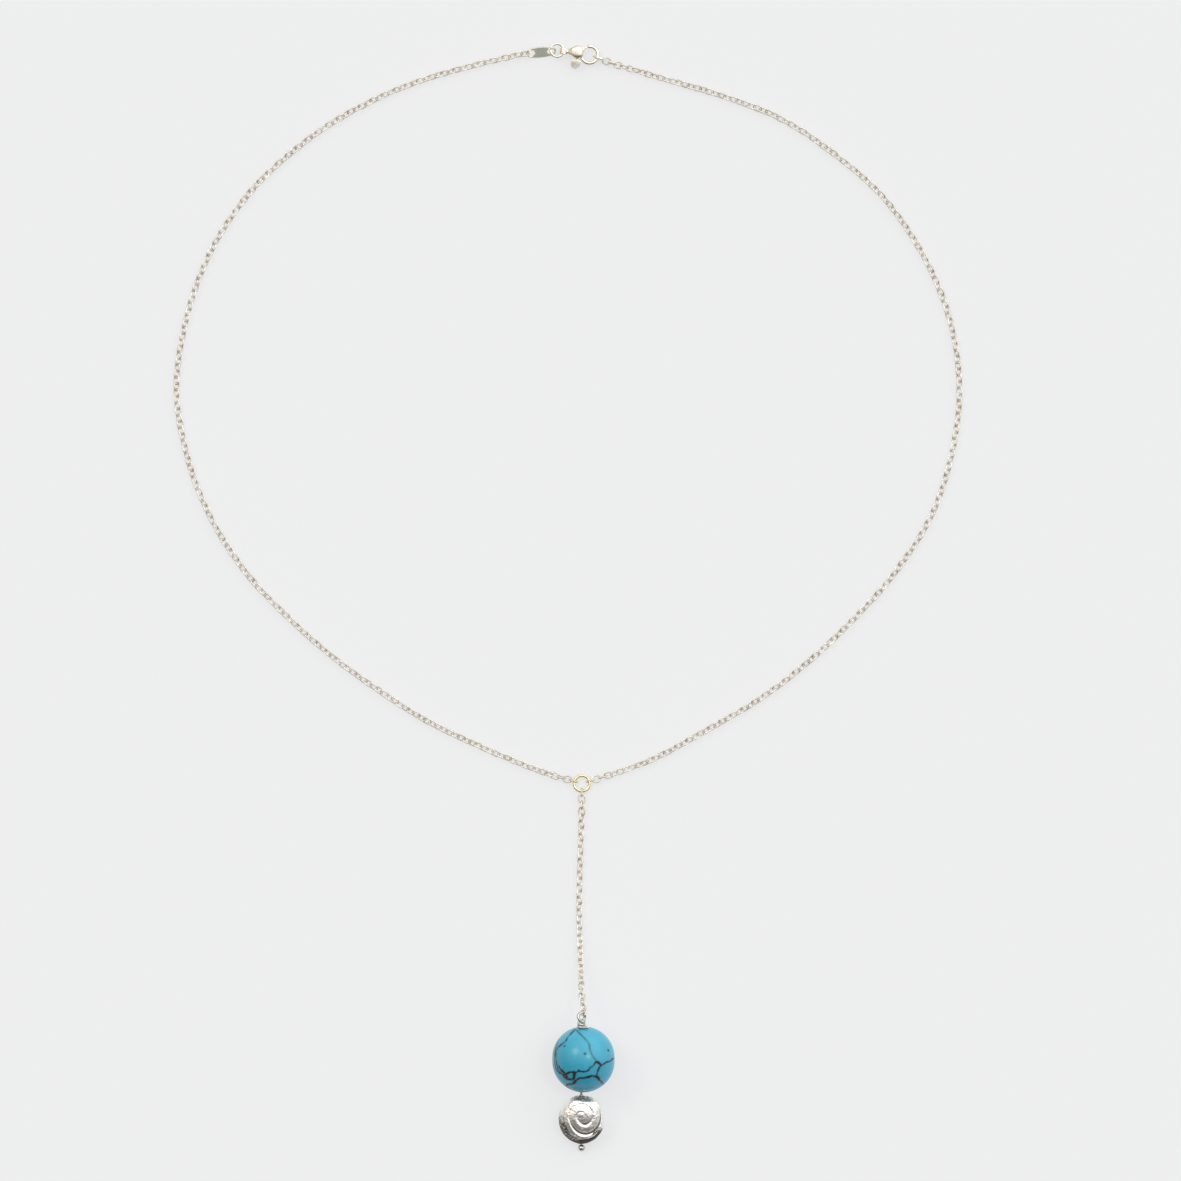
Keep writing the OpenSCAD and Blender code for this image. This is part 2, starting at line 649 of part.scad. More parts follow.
module head_pin() {
    color("silver") pin_frame() {
        along_pin(ball_at, pin_eye_at - pin_eye_r, pin_wire);
        translate([0, ball_at, 0]) sphere(d = ball_d);
        rotate([-90, 0, 0]) rotate_extrude() {
            for (s = wrap_at) translate([wrap_mid_r, s]) circle(d = pin_wire);
            translate([0, wrap_at[0]]) square([wrap_mid_r, wrap_at[1] - wrap_at[0]]);
        }
        translate([0, pin_eye_at, 0]) rotate([0, pin_eye_turn, 0])
            rotate_extrude() translate([pin_eye_r, 0]) circle(d = pin_wire);
        translate([0, wrap_at[0], wrap_mid_r]) rotate([0, 90, 0])
            cylinder(d = pin_wire * TAIL_PINCH, h = wrap_mid_r + pin_tail);
    }
}

module turquoise_bead() {
    color("mediumturquoise") pin_frame()
        difference() {
            intersection() {
                translate([bead_bore_off, 0, 0]) {
                    for (side = [-1, 1])
                        translate([0, side * bead_stretch, 0]) sphere(r = bead_r, $fn = 96);
                    along_pin(-bead_stretch, bead_stretch, bead_w, $fn = 96);
                }
                along_pin(-bead_l / 2, bead_l / 2, 2 * bead_w);
            }
            along_pin(-bead_l, bead_l, bead_bore);
        }
}

module shell_bead() {
    color("lightgray") pin_frame() translate([0, shell_at, 0])
        difference() {
            shell_solid();
            along_pin(-shell_l, shell_l, shell_bore);
        }
}

// The shell bead's solid: rings of points from the rim to the crown on both sides
module shell_solid() {
    n = SHELL_SIDES;
    face_first = n;
    back_first = n * SHELL_FACE_RINGS;
    top = n * (SHELL_FACE_RINGS + SHELL_BACK_RINGS - 1);
    face_last = back_first - n;
    back_last = top - n;
    polyhedron(
        points = concat(shell_rim_points, shell_face_points, shell_back_points,
                        [shell_top_point, shell_low_point]),
        faces = [
            for (k = [0:SHELL_FACE_RINGS - 2]) each band(n * k, n * (k + 1), n),
            for (i = [0:n - 1]) [face_last + i, top, face_last + (i + 1) % n],
            each band(back_first, 0, n),
            for (k = [0:SHELL_BACK_RINGS - 3])
                each band(back_first + n * (k + 1), back_first + n * k, n),
            for (i = [0:n - 1]) [back_last + (i + 1) % n, top + 1, back_last + i]]);
}

chain_left();
chain_right();
drop_chain();
tag_link();
clasp_link();
y_link_left();
y_link_right();
y_ring();
chain_tag();
jump_ring();
end_ring();
clasp_body();
clasp_rivet();
clasp_lever();
head_pin();
turquoise_bead();
shell_bead();
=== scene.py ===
"""A y necklace laid out flat on a pale surface, seen from straight above.

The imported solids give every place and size. This script gives them their looks:
the two halves of the chain as real links, the wrapped wire of the head pin, the
veined stone, the hammered spiral bead, the soft edges of the cast clasp, the
metals and the light. Lengths are in millimetres until add_mesh() writes metres.
"""

import json
import math

import bpy
import numpy as np
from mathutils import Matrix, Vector, kdtree, noise

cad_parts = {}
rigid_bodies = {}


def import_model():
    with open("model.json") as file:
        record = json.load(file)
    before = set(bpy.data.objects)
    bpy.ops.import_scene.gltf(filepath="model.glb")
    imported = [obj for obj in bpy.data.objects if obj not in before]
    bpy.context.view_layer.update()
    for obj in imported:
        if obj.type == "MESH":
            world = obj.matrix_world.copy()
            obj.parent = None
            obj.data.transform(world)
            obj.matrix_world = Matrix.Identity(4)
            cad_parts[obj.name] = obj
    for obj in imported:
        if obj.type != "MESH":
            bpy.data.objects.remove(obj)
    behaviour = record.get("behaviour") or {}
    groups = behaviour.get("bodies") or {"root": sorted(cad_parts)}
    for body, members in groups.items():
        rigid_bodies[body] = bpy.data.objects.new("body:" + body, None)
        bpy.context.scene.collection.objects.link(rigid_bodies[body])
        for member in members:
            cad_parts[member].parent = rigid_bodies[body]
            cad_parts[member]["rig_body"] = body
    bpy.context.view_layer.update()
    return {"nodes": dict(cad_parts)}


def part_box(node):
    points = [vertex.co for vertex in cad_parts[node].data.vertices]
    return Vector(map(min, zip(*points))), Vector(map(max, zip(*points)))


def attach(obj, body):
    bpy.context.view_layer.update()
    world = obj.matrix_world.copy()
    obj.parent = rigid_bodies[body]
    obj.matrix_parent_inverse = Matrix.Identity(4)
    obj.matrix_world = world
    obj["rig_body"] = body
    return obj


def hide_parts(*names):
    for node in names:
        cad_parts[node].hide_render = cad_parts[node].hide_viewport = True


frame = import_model()
nodes = frame["nodes"]

MM = 0.001
UP = np.array([0.0, 0.0, 1.0])
rng = np.random.default_rng(11)


# Vectors, numbers and places


def node_box(name):
    """Lowest corner, highest corner and middle of a solid, in millimetres."""
    low, high = (np.array(corner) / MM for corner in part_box(name))
    return low, high, (low + high) / 2


def unit(v):
    return v / np.linalg.norm(v, axis=-1, keepdims=True)


def compass(degrees):
    """A level direction."""
    angle = math.radians(degrees)
    return np.array([math.cos(angle), math.sin(angle), 0.0])


def smooth(t):
    t = np.clip(t, 0, 1)
    return t * t * (3 - 2 * t)


def curve(points, steps):
    """A smooth curve through chosen points."""
    p = np.array([points[0], *points, points[-1]], float)
    t = np.linspace(0, 1, steps, endpoint=False)[:, None]
    runs = [(2 * b + (c - a) * t + (2 * a - 5 * b + 4 * c - d) * t ** 2
             + (3 * b - a - 3 * c + d) * t ** 3) / 2
            for a, b, c, d in zip(p, p[1:], p[2:], p[3:])]
    return np.concatenate([*runs, p[-1:]])


def travelled(path):
    """How far along a path each of its points lies."""
    return np.concatenate([[0], np.cumsum(np.linalg.norm(np.diff(path, axis=0), axis=1))])


def noise_at(points, size, seed=0.0):
    """Smooth noise about 0 at each point, its bumps about this many millimetres wide."""
    return np.array([noise.noise(Vector(p) / size + Vector((seed, 0, 0))) for p in points])


# Meshes


def add_mesh(name, points, faces, material, slot, replaces):
    """Makes a smooth piece of points in millimetres that stands for some solids."""
    mesh = bpy.data.meshes.new(name)
    mesh.from_pydata((np.asarray(points) * MM).tolist(), [], faces)
    mesh.polygons.foreach_set("use_smooth", [True] * len(mesh.polygons))
    mesh.materials.append(material)
    piece = bpy.data.objects.new(name, mesh)
    bpy.context.scene.collection.objects.link(piece)
    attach(piece, "necklace")
    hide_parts(*replaces)
    return piece


def add_values(piece, name, values):
    """Stores a number at each point of a piece, for its material to read."""
    attribute = piece.data.attributes.new(name, "FLOAT", "POINT")
    attribute.data.foreach_set("value", np.asarray(values, np.float32))


def mesh_points(mesh):
    """The points of a mesh in millimetres."""
    points = np.empty(len(mesh.vertices) * 3, np.float32)
    mesh.vertices.foreach_get("co", points)
    return points.reshape(-1, 3) / MM


def mesh_shape(mesh):
    """A mesh as a shape of points and faces."""
    return mesh_points(mesh), [list(face.vertices) for face in mesh.polygons]


def apply_modifiers(piece):
    """Makes what a piece's modifiers show its own mesh."""
    shown = piece.evaluated_get(bpy.context.evaluated_depsgraph_get())
    mesh = bpy.data.meshes.new_from_object(shown)
    piece.modifiers.clear()
    piece.data = mesh


def band(rows, columns, closed=False):
    """Quads between rows of points; each row is a ring of as many columns."""
    i = np.arange(rows if closed else rows - 1)[:, None] * columns
    j = np.arange(columns)
    below = (i + columns) % (rows * columns)
    after = (j + 1) % columns
    return np.stack([i + j, below + j, below + after, i + after], -1).reshape(-1, 4).tolist()


def fans(rows, columns):
    """Triangles from the first and last ring to two last points, the two ends."""
    j = np.arange(columns)
    after = (j + 1) % columns
    end = (rows - 1) * columns
    top = np.full(columns, rows * columns)
    return (np.stack([top, j, after], -1).tolist()
            + np.stack([top + 1, end + after, end + j], -1).tolist())


def tube(path, radius, sides, closed=False):
    """A round wire along a path. Open ends are rounded."""
    if closed:
        way = unit(np.roll(path, -1, 0) - np.roll(path, 1, 0))
    else:
        first, last = unit(path[0] - path[1]), unit(path[-1] - path[-2])
        radius = np.concatenate([radius[:1] * [0.45, 0.8, 0.96], radius,
                                 radius[-1:] * [0.96, 0.8, 0.45]])
        caps = np.array([0.42, 0.3, 0.15])[:, None] * radius.max()
        path = np.concatenate([path[0] + caps * first, path, path[-1] + caps[::-1] * last])
        way = unit(np.gradient(path, axis=0))
    side = unit(np.cross(way[0], [0.31, 0.17, 0.93]))
    frames = []
    for w in way:
        side = unit(side - (side @ w) * w)
        frames.append((side, np.cross(side, w)))
    across, over = np.array(frames).transpose(1, 0, 2)
    angle = np.linspace(0, 2 * math.pi, sides, endpoint=False)[None, :, None]
    ring = np.cos(angle) * across[:, None] + np.sin(angle) * over[:, None]
    points = (path[:, None] + radius[:, None, None] * ring).reshape(-1, 3)
    if closed:
        return points, band(len(path), sides, closed=True)
    return (np.concatenate([points, path[[0, -1]]]),
            band(len(path), sides) + fans(len(path), sides))


def join(*shapes):
    """Several shapes of points and faces as one."""
    points, faces, first = [], [], 0
    for p, f in shapes:
        points.append(p)
        faces += [[first + v for v in face] for face in f]
        first += len(p)
    return np.concatenate(points), faces


# Materials


class Shader:
    """A material whose node tree is written as short formulas."""

    def __init__(self, name):
        self.material = bpy.data.materials.new(name)
        self.material.use_nodes = True
        self.tree = self.material.node_tree
        self.bsdf = self.tree.nodes["Principled BSDF"]
        self.place = self.add("TexCoord", out="Object")

    def feed(self, socket, value):
        if isinstance(value, bpy.types.NodeSocket):
            self.tree.links.new(value, socket)
        elif isinstance(value, tuple) and socket.type == "RGBA":
            socket.default_value = (*value, 1)
        else:
            socket.default_value = value

    def add(self, kind, inputs=None, out=0, **settings):
        node = self.tree.nodes.new("ShaderNode" + kind)
        for name, value in settings.items():
            setattr(node, name, value)
        for key, value in (inputs or {}).items():
            self.feed(node.inputs[key], value)
        return node.outputs[out]

    def noise(self, size, detail=3, roughness=0.5, **more):
        """Noise from 0 to 1, its bumps about this many millimetres wide."""
        return self.add("TexNoise", {"Vector": self.place, "Scale": 1 / (size * MM),
                                     "Detail": detail, "Roughness": roughness, **more})

    def cells(self, size, **settings):
        """Distance from the middles of cells this many millimetres wide."""
        return self.add("TexVoronoi", {"Vector": self.place, "Scale": 1 / (size * MM)},
                        **settings)

    def value(self, name):
        return self.add("Attribute", out="Fac", attribute_name=name)

    def math(self, operation, *values):
        return self.add("Math", dict(enumerate(values)), operation=operation)

    def step(self, value, low, high, start=0.0, end=1.0):
        """A smooth step of a value, from start at low to end at high."""
        return self.add("MapRange", {"Value": value, "From Min": low, "From Max": high,
                                     "To Min": start, "To Max": end},
                        interpolation_type="SMOOTHSTEP")

    def mix(self, share, a, b, blend="MIX"):
        return self.add("Mix", {0: share, 6: a, 7: b}, out=2, data_type="RGBA",
                        blend_type=blend)

    def bump(self, height, distance, normal=None):
        inputs = {"Height": height, "Distance": distance * MM}
        if normal is not None:
            inputs["Normal"] = normal
        return self.add("Bump", inputs)

    def surface(self, values):
        for name, value in values.items():
            self.feed(self.bsdf.inputs[name], value)
        return self.material


def polished(name, light, dark, roughness, grain=0.0015):
    """Polished metal: thin clouds of tarnish, and the fine marks of wear."""
    s = Shader(name)
    clouds = s.noise(1.4, 4, 0.6)
    wear = s.noise(0.12, 3, 0.6)
    return s.surface({
        "Base Color": s.mix(s.step(clouds, 0.4, 0.62), dark, light),
        "Metallic": 1.0,
        "Roughness": s.math("MULTIPLY_ADD", wear, 0.16, roughness - 0.08),
        "Normal": s.bump(s.noise(0.3, 3, 0.55), grain)})


chain_silver = polished("Chain silver", (0.86, 0.82, 0.74), (0.66, 0.60, 0.50), 0.38)
fitting_silver = polished("Fitting silver", (0.94, 0.90, 0.81), (0.80, 0.74, 0.62), 0.2)
pin_silver = polished("Pin silver", (0.80, 0.78, 0.73), (0.52, 0.50, 0.46), 0.24)
pale_gold = polished("Pale gold", (0.92, 0.82, 0.52), (0.74, 0.62, 0.34), 0.22)


# The chain

LINK_PITCH = 1.23
LINK_ARC_R, LINK_STRAIGHT, LINK_WIRE_R = 0.6, 0.45, 0.15
CHAIN_Z = LINK_ARC_R * math.sin(math.radians(45)) + LINK_WIRE_R
LEFT_ROUTE = [
    (-18, 103.5), (-30, 100), (-42, 94.5), (-52.5, 87.5), (-62, 78.5), (-69.5, 67),
    (-74, 54.5), (-76, 41), (-74, 28), (-69.5, 16), (-62.5, 5), (-54, -4),
    (-45.5, -11.5), (-36.5, -18), (-27, -24), (-16.5, -29), (-5.5, -33.5)]
RIGHT_ROUTE = [
    (18, 101), (30, 97.5), (41.5, 93), (52, 86), (61.5, 77.5), (69, 66.5),
    (74, 54.5), (76, 41), (74.5, 28), (70.5, 16), (63.5, 5), (55.5, -4),
    (47, -12), (38, -19), (28, -25), (18, -30.5), (12, -33)]
# The route points are those of the source's layout, in which the front ring is here
Y_RING_AT = np.array([2.7, -36.0, 0.0])
# A route leaves the middle of an end link by this much; the directions are in degrees
OFF_END_LINK = 1.03
TAG_TILT, CLASP_LINK_WAY, CLASP_LINK_DIP = 6, -20, 20
# Length over which a half twists to meet an end link
TWIST_L = 8.0
# How unevenly the links lie: dip and yaw in radians, roll in degrees, drift in millimetres
DIP_SPREAD, YAW_SPREAD, ROLL_SPREAD, DRIFT_SPREAD = 0.02, 0.035, 4, 0.02
ring_at = node_box("y_ring")[2] * [1, 1, 0]


def link_shape():
    """One oval link, its length along X and its face towards Z."""
    arc = np.linspace(-90, 90, 12)
    ends = [compass(a) * LINK_ARC_R + [LINK_STRAIGHT / 2, 0, 0] for a in arc]
    path = np.array(ends + [-p for p in ends])
    return tube(path, np.full(len(path), LINK_WIRE_R), 8, closed=True)


def chain_links(start, route, end, first_roll, off_start):
    """The links of one half, between the end link at the clasp group and the one at the ring.

    The first end link is rolled by first_roll, and the route leaves it by off_start. Neighbours
    are rolled by 90 degrees from each other. On the surface they lie at 45 degrees to
    either side, and they twist over to meet the end links.
    """
    start_at, end_at = node_box(start)[2], node_box(end)[2]
    route = [(*(np.array(p) - Y_RING_AT[:2] + ring_at[:2]), CHAIN_Z) for p in route]
    off_ring = unit((np.array(route[-1]) - ring_at) * [1, 1, 0])
    path = curve([start_at + off_start, *route, end_at + OFF_END_LINK * off_ring], 30)
    path = np.concatenate([[start_at], path, [end_at]])
    along = travelled(path)
    whole = along[-1]
    count = round(whole / LINK_PITCH)

    def at(s):
        return np.array([np.interp(s, along, path[:, k]) for k in range(3)])

    middle_roll = 45 if abs(first_roll - 45) <= abs(first_roll + 45) else -45
    first_turn = first_roll - middle_roll
    last_turn = (90 - middle_roll - 90 * count + 90) % 180 - 90
    shape, faces = link_shape()
    links = []
    for i in range(1, count):
        s = i * whole / count
        way = unit(at(s + LINK_PITCH / 2) - at(s - LINK_PITCH / 2))
        way = unit(way + [0, 0, rng.normal(0, DIP_SPREAD)])
        side = unit(np.cross(UP, way))
        roll = math.radians(middle_roll + 90 * i + first_turn * (1 - smooth(s / TWIST_L))
                            + last_turn * (1 - smooth((whole - s) / TWIST_L))
                            + rng.normal(0, ROLL_SPREAD))
        normal = math.cos(roll) * np.cross(way, side) + math.sin(roll) * side
        yaw = rng.normal(0, YAW_SPREAD)
        way = math.cos(yaw) * way + math.sin(yaw) * np.cross(normal, way)
        middle = at(s) + side * rng.normal(0, DRIFT_SPREAD)
        middle[2] = max(middle[2], LINK_ARC_R * abs(math.sin(roll)) + LINK_WIRE_R)
        turned = np.stack([way, np.cross(normal, way), normal])
        links.append((middle + shape @ turned, faces))
    return join(*links)


dip = math.radians(CLASP_LINK_DIP)
off_tag = -OFF_END_LINK * compass(TAG_TILT)
off_clasp = OFF_END_LINK * (math.cos(dip) * compass(CLASP_LINK_WAY) - math.sin(dip) * UP)
for name, links in (
        ("chain_left", chain_links("tag_link", LEFT_ROUTE, "y_link_left", -45, off_tag)),
        ("chain_right", chain_links("clasp_link", RIGHT_ROUTE, "y_link_right", 0, off_clasp))):
    add_mesh(name + "_links", *links, chain_silver, "chain_silver", [name])


# The pendant: its pin runs along the Y axis of a frame whose origin is the stone's middle

PIN_WIRE_R, BALL_R, EYE_R, EYE_TURN, TAIL = 0.3, 0.7, 0.85, 38, 0.7
# The wrapping: the turn of the wire in degrees and the radius of its turns
WRAP_TURN, WRAP_R = 682, 1.88 * PIN_WIRE_R
STONE_R, STONE_L, STONE_BORE_R, STONE_GROUND = 6.05, 12.7, 0.55, 0.05
BORE_OFF, BEAD_GAP = 0.4, 1.15
SHELL_W, SHELL_L, SHELL_T, SHELL_BORE_R, RELIEF = 8.85, 9.9, 5.2, 0.5, 0.4
SEAT = 0.06

stone_at = node_box("turquoise_bead")[2]
pin_at = stone_at - [BORE_OFF, 0, 0]
shell_y = -(STONE_L / 2 + BEAD_GAP + SHELL_L / 2)
ball_y = shell_y - SHELL_L / 2 - BALL_R
wrap_y = STONE_L / 2 + SEAT + PIN_WIRE_R * np.array([1, 2.9])
eye_y = wrap_y[1] + PIN_WIRE_R * 1.8 + EYE_R
pin_tilt = math.acos((node_box("head_pin")[0][1] + BALL_R - pin_at[1]) / ball_y)
TILT = np.array([[1, 0, 0],
                 [0, math.cos(pin_tilt), math.sin(pin_tilt)],
                 [0, -math.sin(pin_tilt), math.cos(pin_tilt)]])


def in_world(points):
    """Points of the pin's frame in the world's."""
    return np.asarray(points) @ TILT + pin_at


def in_pin(points):
    """Points of the world in the pin's frame."""
    return (np.asarray(points) - pin_at) @ TILT.T


def head_pin():
    """The ball, the shank, the eye, the wrapping and the cut tail, as one wire."""
    turn = math.radians(EYE_TURN)
    eye_x = np.array([math.cos(turn), 0, -math.sin(turn)])
    eye_normal = np.array([math.sin(turn), 0, math.cos(turn)])
    shank = [(0, y, 0) for y in np.linspace(ball_y, eye_y - EYE_R - 0.35, 40)]
    # The end of the eye leans out to pass beside the shank
    angles = np.radians(np.linspace(-90, 270, 60))
    lean = WRAP_R * smooth((np.degrees(angles) - 130) / 140)
    eye = (np.array([0, eye_y, 0]) + EYE_R * np.cos(angles)[:, None] * eye_x
           + EYE_R * np.sin(angles)[:, None] * [0, 1, 0] + lean[:, None] * eye_normal)
    start = math.atan2(eye_normal[2], eye_normal[0])
    turned = np.linspace(0, math.radians(WRAP_TURN), 110)
    drop = np.interp(turned, [0, turned[-1]], [eye_y - EYE_R, wrap_y[0]])
    wrap = np.stack([WRAP_R * np.cos(start - turned), drop,
                     WRAP_R * np.sin(start - turned)], -1)
    leave = start - turned[-1]
    onward = np.array([math.sin(leave), 0, -math.cos(leave)])
    tail = wrap[-1] + np.linspace(0.08, WRAP_R + TAIL, 12)[:, None] * onward
    wire = in_world(np.concatenate([shank, eye, wrap[1:], tail]))
    rows, columns = 15, 32
    fall = np.radians(np.linspace(10, 170, rows))[:, None]
    round_ = np.linspace(0, 2 * math.pi, columns, endpoint=False)
    ball = BALL_R * np.stack([np.sin(fall) * np.sin(round_), np.cos(fall) + 0 * round_,
                              np.sin(fall) * np.cos(round_)], -1)
    ends = [[0, BALL_R, 0], [0, -BALL_R, 0]]
    points = in_world(np.concatenate([ball.reshape(-1, 3), ends]) + [0, ball_y, 0])
    return join(tube(wire, np.full(len(wire), PIN_WIRE_R), 16),
                (points, band(rows, columns) + fans(rows, columns)))


add_mesh("head_pin_wire", *head_pin(), pin_silver, "fitting_silver", ["head_pin"])


def drill(piece, radius):
    """Cuts the hole of a bead, along the pin."""
    way = in_world([0, 1, 0]) - pin_at
    bpy.ops.mesh.primitive_cylinder_add(vertices=48, radius=radius * MM, depth=60 * MM,
                                        location=pin_at * MM,
                                        rotation=Vector(way).to_track_quat("Z", "Y").to_euler())
    cutter = bpy.context.object
    cut = piece.modifiers.new("Hole", "BOOLEAN")
    cut.operation, cut.object, cut.solver = "DIFFERENCE", cutter, "EXACT"
    apply_modifiers(piece)
    bpy.data.objects.remove(cutter)
    piece.data.set_sharp_from_angle(angle=math.radians(50))


# The stone: a ball with ground ends. Each vein has half its width, and its points lie right of
# and up from the stone's middle, as seen from above.

VEINS = [
    (0.13, [(-1.57, 5.58), (-2.25, 4.83), (-2.99, 4.09), (-3.36, 3.47), (-4.23, 2.85),
            (-4.91, 2.17), (-5.22, 1.49), (-5.28, 0.25), (-5.10, -0.99), (-4.91, -1.73),
            (-4.11, -2.60), (-3.36, -3.22)]),
    (0.10, [(-4.60, 3.84), (-5.22, 2.23), (-5.53, 0.75), (-5.53, -0.49), (-5.28, -1.73),
            (-4.60, -2.47)]),
    (0.04, [(-1.57, 5.58), (-0.89, 5.08), (-0.14, 4.34), (0.48, 3.72), (1.10, 2.98),
            (1.16, 2.23)]),
    (0.03, [(1.16, 2.23), (1.59, 1.12), (2.21, 0.25), (2.33, -0.24)]),
    (0.12, [(2.33, -0.24), (1.96, -0.99), (1.34, -1.36), (0.97, -1.85), (0.11, -2.22),
            (-1.01, -2.10), (-1.63, -2.60), (-1.75, -3.46), (-2.12, -3.71)]),
    (0.15, [(2.33, -0.24), (3.08, -0.61), (3.32, -0.99), (4.32, -0.49), (4.93, -0.24),
            (5.86, 0.25)]),
    (0.14, [(3.32, -0.99), (2.95, -1.61), (2.71, -2.35), (2.58, -2.97), (2.71, -3.46),
            (3.05, -3.80)]),
    (0.07, [(3.05, -3.80), (3.40, -4.15), (3.60, -4.50)]),
    (0.03, [(3.60, -4.50), (3.75, -4.85)]),
    (0.15, [(2.58, -3.09), (1.59, -3.03), (0.97, -3.22), (0.11, -3.40), (-0.64, -3.40),
            (-1.38, -3.83), (-2.00, -4.45), (-2.87, -4.58), (-3.18, -4.82), (-2.81, -5.44),
            (-2.00, -5.94)]),
    (0.14, [(-4.60, -2.35), (-3.86, -2.72), (-3.24, -2.60), (-2.62, -2.35), (-1.63, -2.35)]),
    (0.16, [(-4.11, -2.60), (-3.36, -3.46), (-2.62, -3.65), (-1.88, -3.71), (-1.75, -3.0)]),
    (0.24, [(-4.70, -1.30), (-4.15, -2.05), (-3.45, -2.70), (-3.20, -3.00)]),
    (0.34, [(-3.30, -2.75), (-3.20, -3.05)]),
    (0.14, [(-3.30, -3.20), (-2.70, -3.50), (-2.00, -3.55), (-1.85, -2.95), (-1.65, -2.40)]),
    (0.22, [(-2.05, -3.50), (-1.95, -3.58)]),
    (0.22, [(-0.87, -2.00), (-0.78, -2.05)]),
    (0.24, [(2.45, -3.02), (2.70, -3.15), (2.90, -3.55)]),
    (0.20, [(3.22, -0.98), (3.34, -1.02)]),
    (0.13, [(0.26, 1.24), (0.32, 1.24)]),
    (0.12, [(4.66, 1.86), (4.72, 1.86)]),
    (0.08, [(-3.58, 2.61), (-3.52, 2.61)])]


def vein_samples():
    """Points along the veins on a ball of radius 1, and half their width in millimetres."""
    found = []
    for half, points in VEINS:
        run = curve(points, 24)
        height = np.sqrt(np.maximum(1.0, STONE_R ** 2 - (run ** 2).sum(1)))
        found.append((unit(np.column_stack([run, height])), half))
    # Wandering veins on the far side, from where the traced ones pass out of sight
    ends = [(-0.25, 0.94, 0.0), (0.97, 0.04, -0.1), (0.62, -0.75, 0.0), (-0.33, -0.94, -0.1),
            (-0.9, 0.1, -0.3), (0.2, 0.3, -0.95), (-0.3, -0.4, -0.9), (0.6, -0.3, -0.75),
            (-0.5, 0.5, -0.75), (0.5, 0.8, -0.4)]
    for a, b in ((0, 5), (1, 7), (2, 7), (3, 6), (4, 6), (5, 7), (5, 8), (6, 7), (8, 0), (9, 5),
                 (9, 1), (4, 8)):
        t = np.linspace(0, 1, 9)[:, None]
        line = (1 - t) * ends[a] + t * ends[b]
        line[1:-1] += rng.normal(0, 0.07, (7, 3))
        found.append((unit(curve(line, 24)), rng.uniform(0.07, 0.14)))
    return found


def stone():
    rows, columns = 200, 400
    fall = np.linspace(0, math.pi, rows + 2)[1:-1, None]
    round_ = np.linspace(0, 2 * math.pi, columns, endpoint=False)[None, :]
    # Drawn out a little at the middle, and ground flat at the ends
    length = STONE_L / 2 + STONE_GROUND - STONE_R
    y = STONE_R * np.cos(fall) + length * np.clip(np.cos(fall) / 0.12, -1, 1)
    y = np.clip(y, -STONE_L / 2, STONE_L / 2)
    points = np.stack([BORE_OFF + STONE_R * np.sin(fall) * np.sin(round_),
                       y + 0 * round_, STONE_R * np.sin(fall) * np.cos(round_)], -1)
    points = np.concatenate([points.reshape(-1, 3), [[BORE_OFF, STONE_L / 2, 0],
                                                     [BORE_OFF, -STONE_L / 2, 0]]])
    return in_world(points), band(rows, columns) + fans(rows, columns)


def turquoise():
    s = Shader("Turquoise stone")
    vein = s.value("vein")
    broad = s.noise(3.2, 3, 0.55)
    grain = s.noise(0.35, 4, 0.6)
    # Painted light and shade: the stone is coloured lighter on its side towards the upper right
    # and darker on the side away from it, as the light falls on it
    body = s.mix(s.step(s.value("height"), -0.9, 0.9), (0.022, 0.29, 0.45), (0.064, 0.39, 0.565))
    body = s.mix(s.step(broad, 0.35, 0.7, 0.0, 0.5), body, (0.040, 0.33, 0.44))
    body = s.mix(s.step(grain, 0.45, 0.8, 0.0, 0.18), body, (0.14, 0.52, 0.64))
    near = s.step(s.math("ADD", vein, s.math("MULTIPLY", grain, 0.12)), 0.0, 0.45, 1.0, 0.0)
    body = s.mix(s.math("MULTIPLY", near, 0.62), body, (0.02, 0.12, 0.16))
    ragged = s.math("MULTIPLY_ADD", s.noise(0.22, 3, 0.6), 0.16, -0.08)
    line = s.step(s.math("ADD", vein, ragged), -0.02, 0.06, 1.0, 0.0)
    strength = s.step(s.noise(1.1, 2, 0.5), 0.25, 0.45, 0.65, 1.0)
    mask = s.math("MULTIPLY", line, strength)
    matrix = s.mix(grain, (0.004, 0.005, 0.007), (0.030, 0.022, 0.018))
    return s.surface({
        "Base Color": s.mix(mask, body, matrix),
        "Roughness": s.math("MULTIPLY_ADD", mask, 0.2, 0.26),
        "Specular IOR Level": 0.42,
        "Normal": s.bump(s.math("MULTIPLY_ADD", mask, -1.0, s.math("MULTIPLY", grain, 0.25)),
                         0.012)})


def add_stone():
    piece = add_mesh("turquoise_stone", *stone(), turquoise(), "turquoise", ["turquoise_bead"])
    drill(piece, STONE_BORE_R)
    samples = vein_samples()
    tree = kdtree.KDTree(sum(len(run) for run, _ in samples))
    halves = []
    for run, half in samples:
        # A vein swells and thins along its way
        wave = noise_at(run, 0.12, half * 100)
        for point, w in zip(run, wave):
            tree.insert(point, len(halves))
            halves.append(half * (1 + 0.9 * w))
    tree.balance()
    way = unit(mesh_points(piece.data) - stone_at)
    wobble = np.stack([noise_at(way, 0.16, seed) + 0.4 * noise_at(way, 0.05, seed)
                       for seed in (3, 7, 13)], -1) * 0.02
    found = [tree.find(Vector(d)) for d in way + wobble]
    add_values(piece, "vein", [gap * STONE_R - halves[i] for _, i, gap in found])
    # How far a point lies towards the upper right: the stone's material paints light and shade
    # with it
    add_values(piece, "height", way @ unit(np.array([0.55, 0.7, 0.2])))


add_stone()


# The spiral bead: an outline in the pin's plane, a crown on both sides, a ridge on the face

# Directions in degrees, and the rim's distance as a share of an ellipse of the bead's size
SHELL_OUTLINE = np.array([
    (0, 1.00), (25, 1.00), (48, 1.08), (70, 1.03), (90, 1.01), (108, 1.04), (129, 0.98),
    (151, 1.02), (180, 1.00), (202, 0.98), (223, 0.97), (250, 0.95), (270, 0.98),
    (289, 0.96), (316, 0.98), (338, 1.00), (360, 1.00)])
